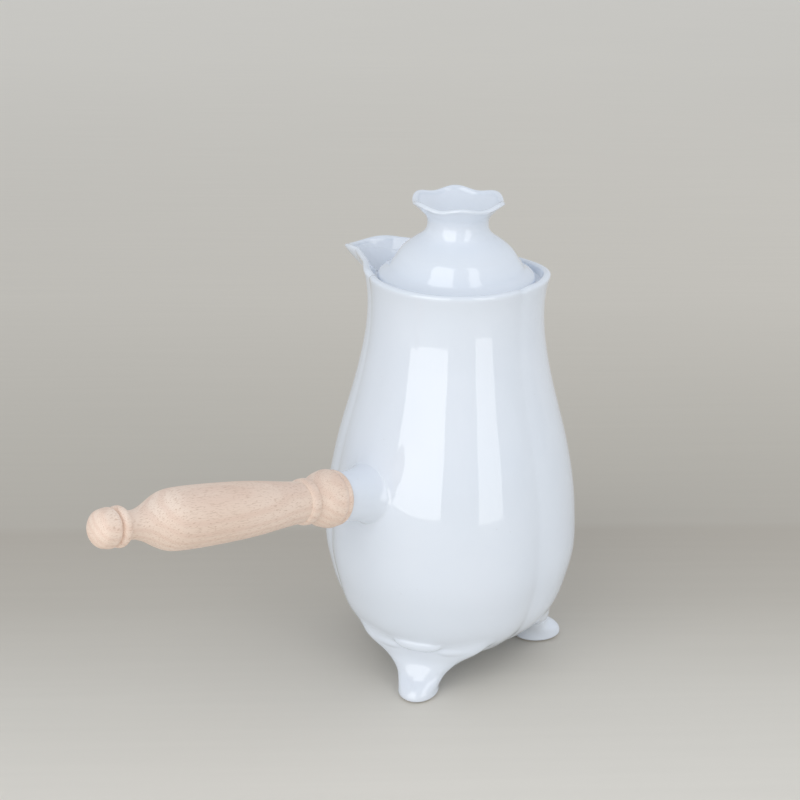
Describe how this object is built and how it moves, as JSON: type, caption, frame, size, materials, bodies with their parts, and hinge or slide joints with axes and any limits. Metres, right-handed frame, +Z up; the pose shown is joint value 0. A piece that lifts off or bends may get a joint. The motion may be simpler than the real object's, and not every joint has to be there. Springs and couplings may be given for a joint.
{
  "type": "chocolate pot",
  "caption": "Lobed porcelain chocolate pot on small feet, with an open beak spout, a turned beech side handle in a luted socket and a loose bell-shaped lid with a ruffled, hollow knob.",
  "frame": {"origin": "on the table plane under the feet, on the pot's upright axis", "axes": "+X from the pot's axis towards the wooden side handle, -Y towards the spout, +Z up"},
  "size_m": [0.27, 0.1333, 0.2339],
  "materials": {
    "porcelain": "glossy clear glaze on white porcelain",
    "beech": "turned pale beech, bare or waxed, matt",
    "cement": "matt plaster cement"
  },
  "bodies": {
    "pot": {"body_shell": "porcelain", "spout": "porcelain", "foot_front": "porcelain", "foot_side": "porcelain", "foot_spout": "porcelain", "handle_socket": "porcelain", "wooden_handle": "beech", "handle_cement": "cement"},
    "lid": {"lid_dome": "porcelain", "lid_knob": "porcelain"}
  },
  "joints": [
    {"name": "lid_lift", "type": "slide", "parent": "pot", "child": "lid", "axis": [0, 0, 1], "range_m": [0, 0.06]}
  ]
}
